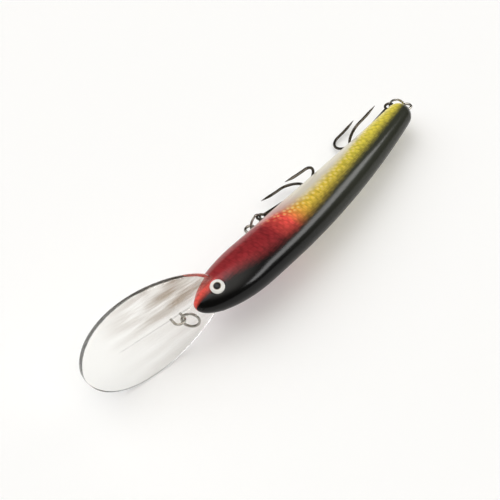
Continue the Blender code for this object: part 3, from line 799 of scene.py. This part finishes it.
class LURE_OT_body(bpy.types.Operator):
    """Painted skin over both body shells"""
    bl_idname = "lure.body"
    bl_label = "Body"

    def execute(self, context):
        scene = context.scene
        axes, nose = lay_of(scene)
        skin, print_place = body_skin(scene.lure_body, scene.lure_eye)
        material = lacquered_print(scene.lure_finish, scene.lure_body)
        add_piece("painted_body", moved(skin, axes, nose), material, "lure_body",
                  ["body_shell_right", "body_shell_left"], ("print_place", print_place))
        return {"FINISHED"}


class LURE_OT_eyes(bpy.types.Operator):
    """White eyes with their pupils"""
    bl_idname = "lure.eyes"
    bl_label = "Eyes"

    def execute(self, context):
        scene = context.scene
        eye = scene.lure_eye
        axes, nose = lay_of(scene)
        enamel = eye_enamel(scene.lure_finish, eye)
        black = pupil_enamel(scene.lure_finish)
        for name, side in (("right", 1), ("left", -1)):
            turn, centre = eye_frame(scene.lure_body, eye, side)
            disc = eye_disc(scene.lure_body, eye)
            reach = np.linalg.norm(disc[0][:, :2], axis=1) / (eye.diameter / 2)
            place = np.stack([reach, 0 * reach, 0 * reach], -1)
            for kind, shape, material, slot, attribute in (
                    ("eye_", disc, enamel, "eye_white", ("eye_place", place)),
                    ("pupil_", pupil_dome(eye), black, "pupil_black", None)):
                shape = moved(moved(shape, turn, centre), axes, nose)
                add_piece(kind + "bead_" + name, shape, material, "lure_body", [kind + name], attribute)
        return {"FINISHED"}


class LURE_OT_lip(bpy.types.Operator):
    """Clear diving lip with its centre rib"""
    bl_idname = "lure.lip"
    bl_label = "Diving lip"

    def execute(self, context):
        scene = context.scene
        axes, nose = lay_of(scene)
        plate = lip_plate(scene.lure_lip)
        lip_place = plate[0] * np.array([-1, 1, 1]) / MILLIMETRE
        shape = moved(moved(plate, *lip_frame(scene.lure_lip)), axes, nose)
        add_piece("lip_plate", shape, clear_polycarbonate(scene.lure_finish), "lure_body", ["diving_lip"],
                  ("lip_place", lip_place))
        return {"FINISHED"}


class LURE_OT_wire(bpy.types.Operator):
    """Line tie and the two hangers"""
    bl_idname = "lure.wire"
    bl_label = "Line tie and hangers"

    def execute(self, context):
        scene = context.scene
        tackle = scene.lure_tackle
        axes, nose = lay_of(scene)
        steel = metal("stainless_wire", scene.lure_finish.wire, low=0.16, high=0.32, grain=0.0012)
        tie = moved(moved(staple(scene.lure_lip), *lip_frame(scene.lure_lip)), axes, nose)
        add_piece("line_tie_wire", tie, steel, "lure_body", ["line_tie"])
        for end, lean, turn in (("belly", tackle.belly_ring_lean, 0.0),
                                ("tail", tackle.tail_ring_lean, -np.pi / 2)):
            crossing = np.array(JOINTS[end + "_ring_swing"]["pos_m"])
            loop = crossing - axes @ lean_direction(lean) * hanger_slack(tackle)
            shape = moved(eyelet(tackle), axes @ spin("Y", turn), loop)
            add_piece(end + "_eyelet", shape, steel, "lure_body", [end + "_hanger"])
        return {"FINISHED"}


class LURE_OT_rings(bpy.types.Operator):
    """Three split rings"""
    bl_idname = "lure.rings"
    bl_label = "Split rings"

    def execute(self, context):
        scene = context.scene
        tackle = scene.lure_tackle
        axes = lay_of(scene)[0]
        nickel = metal("nickel_plate", scene.lure_finish.nickel, low=0.12, high=0.28, grain=0.0015)
        for end, radius, lean in (("line", tackle.line_ring_radius, tackle.line_ring_lean),
                                  ("belly", tackle.ring_radius, tackle.belly_ring_lean),
                                  ("tail", tackle.ring_radius, tackle.tail_ring_lean)):
            name = end + "_ring"
            crossing = JOINTS[name + "_swing"]["pos_m"]
            shape = moved(split_ring(radius, tackle), axes @ spin("Y", lean), crossing)
            add_piece(end + "_split_ring", shape, nickel, name, [name])
        return {"FINISHED"}


class LURE_OT_trebles(bpy.types.Operator):
    """Two treble hooks with barbed points"""
    bl_idname = "lure.trebles"
    bl_label = "Treble hooks"

    def execute(self, context):
        scene = context.scene
        tackle = scene.lure_tackle
        axes = lay_of(scene)[0]
        black_nickel = metal("black_nickel", scene.lure_finish.hook, low=0.14, high=0.3, grain=0.0018)
        for end in ("belly", "tail"):
            lean, droop, first = (getattr(tackle, end + part) for part in ("_lean", "_droop", "_spin"))
            name = end + "_treble"
            turn = axes @ spin("Y", lean) @ spin("Z", -droop)
            shape = moved(treble(tackle, first), turn, JOINTS[name + "_swing"]["pos_m"])
            add_piece(end + "_hooks", shape, black_nickel, name, [name])
        return {"FINISHED"}


class LURE_OT_inside(bpy.types.Operator):
    """Finish of the ballast slugs and the rattle ball inside the body"""
    bl_idname = "lure.inside"
    bl_label = "Ballast and rattle"

    def execute(self, context):
        finish = context.scene.lure_finish
        lead = metal("cast_lead", finish.lead, low=0.45, high=0.65, grain=0.002)
        ball = metal("polished_steel", finish.steel, low=0.08, high=0.16, grain=0.003)
        for name, material in (("head_weight", lead), ("belly_weight", lead), ("rattle_ball", ball)):
            node = frame["nodes"][name]
            node.data.materials.clear()
            node.data.materials.append(material)
        return {"FINISHED"}


class LURE_OT_stage(bpy.types.Operator):
    """White table, soft light and the camera"""
    bl_idname = "lure.stage"
    bl_label = "Table, light and camera"

    def execute(self, context):
        scene = context.scene
        stage = scene.lure_stage
        half = stage.table_size
        mesh = bpy.data.meshes.new("table")
        corners = [(-half, -half, 0), (half, -half, 0), (half, half, 0), (-half, half, 0)]
        mesh.from_pydata(corners, [], [(0, 1, 2, 3)])
        mesh.materials.append(white_table(scene.lure_finish, stage))
        table = bpy.data.objects.new("table", mesh)
        scene.collection.objects.link(table)
        self.add_key(scene, stage)
        self.add_strip(scene, stage)
        self.add_room(scene, stage)
        self.add_camera(scene, stage)
        scene.view_settings.view_transform = "Standard"
        return {"FINISHED"}

    def add_key(self, scene, stage):
        """Soft lamp from the belly side."""
        lamp = bpy.data.lights.new("key", "SUN")
        lamp.energy = stage.key
        lamp.color = stage.key_colour
        lamp.angle = stage.key_size
        key = bpy.data.objects.new("key", lamp)
        turn = Matrix.Rotation(stage.key_bearing + math.pi / 2, 4, "Z")
        key.matrix_world = turn @ Matrix.Rotation(math.pi / 2 - stage.key_height, 4, "X")
        scene.collection.objects.link(key)

    def add_strip(self, scene, stage):
        """Long narrow lamp that draws the bright line along the back."""
        lamp = bpy.data.lights.new("strip", "AREA")
        lamp.shape = "RECTANGLE"
        lamp.size = stage.strip_length
        lamp.size_y = stage.strip_width
        lamp.energy = stage.strip * math.pi * stage.strip_length * stage.strip_width
        strip = bpy.data.objects.new("strip", lamp)
        target = lay_of(scene)[1] + np.array(stage.target)
        turn = (Matrix.Rotation(stage.strip_bearing + math.pi / 2, 4, "Z")
                @ Matrix.Rotation(math.pi / 2 - stage.strip_height, 4, "X")
                @ Matrix.Rotation(stage.strip_turn, 4, "Z"))
        strip.matrix_world = Matrix.Translation(target) @ turn @ Matrix.Translation((0, 0, stage.strip_away))
        strip.visible_diffuse = False
        strip.visible_transmission = False
        scene.collection.objects.link(strip)

    def add_room(self, scene, stage):
        """Light from all round: bright overhead, dim where the flank and back mirror the room.

        Rays that come through the clear lip see an even pale wall.
        """
        world = bpy.data.worlds.new("room")
        world.use_nodes = True
        tree = world.node_tree
        place = add_node(tree, "ShaderNodeTexCoord").outputs["Generated"]
        parts = add_node(tree, "ShaderNodeSeparateXYZ", {0: place}).outputs
        side = maths(tree, "ABSOLUTE", parts[0])
        lean = maths(tree, "MULTIPLY_ADD", side, -stage.room_lean, parts[2])
        shade = span(tree, lean, (stage.room_low, stage.room_high), (stage.room_dim, stage.room_bright))
        through = add_node(tree, "ShaderNodeLightPath").outputs["Is Transmission Ray"]
        level = add_node(tree, "ShaderNodeMix", {0: through, 2: shade, 3: stage.room_through}).outputs[0]
        tinted = scaled(tree, stage.room_colour, level)
        background = tree.nodes["Background"]
        background.inputs["Strength"].default_value = stage.room
        tree.links.new(tinted, background.inputs["Color"])
        scene.world = world

    def add_camera(self, scene, stage):
        """Camera on its bearing and height around the target."""
        data = bpy.data.cameras.new("camera")
        data.lens = stage.lens
        camera = bpy.data.objects.new("camera", data)
        target = lay_of(scene)[1] + np.array(stage.target)
        turn = (Matrix.Rotation(stage.azimuth, 4, "Z")
                @ Matrix.Rotation(math.pi / 2 - stage.elevation, 4, "X")
                @ Matrix.Rotation(stage.tilt, 4, "Z"))
        camera.matrix_world = Matrix.Translation(target) @ turn @ Matrix.Translation((0, 0, stage.distance))
        scene.collection.objects.link(camera)
        scene.camera = camera


class LURE_PT_sidebar(bpy.types.Panel):
    """Lists the lure's operators and settings"""
    bl_idname = "LURE_PT_sidebar"
    bl_label = "Crankbait Lure"
    bl_space_type = "VIEW_3D"
    bl_region_type = "UI"
    bl_category = "Lure"

    def draw(self, context):
        for operator in OPERATORS:
            self.layout.operator(operator.bl_idname)
        for label in GROUPS:
            group = getattr(context.scene, label)
            box = self.layout.box()
            for key in group.__annotations__:
                box.prop(group, key)


OPERATORS = (LURE_OT_body, LURE_OT_eyes, LURE_OT_lip, LURE_OT_wire, LURE_OT_rings, LURE_OT_trebles,
             LURE_OT_inside, LURE_OT_stage)
GROUPS = {"lure_body": BodySizes, "lure_eye": EyeSizes, "lure_lip": LipSizes, "lure_tackle": TackleSizes,
          "lure_finish": Finishes, "lure_stage": StageSettings}
CLASSES = (*GROUPS.values(), *OPERATORS, LURE_PT_sidebar)


def register():
    for item in CLASSES:
        bpy.utils.register_class(item)
    for label, group in GROUPS.items():
        setattr(bpy.types.Scene, label, PointerProperty(type=group))


def unregister():
    for label in GROUPS:
        delattr(bpy.types.Scene, label)
    for item in reversed(CLASSES):
        bpy.utils.unregister_class(item)


def main():
    """Registers the classes and builds the lure."""
    register()
    bpy.ops.lure.body()
    bpy.ops.lure.eyes()
    bpy.ops.lure.lip()
    bpy.ops.lure.wire()
    bpy.ops.lure.rings()
    bpy.ops.lure.trebles()
    bpy.ops.lure.inside()
    bpy.ops.lure.stage()


if __name__ == "__main__":
    main()
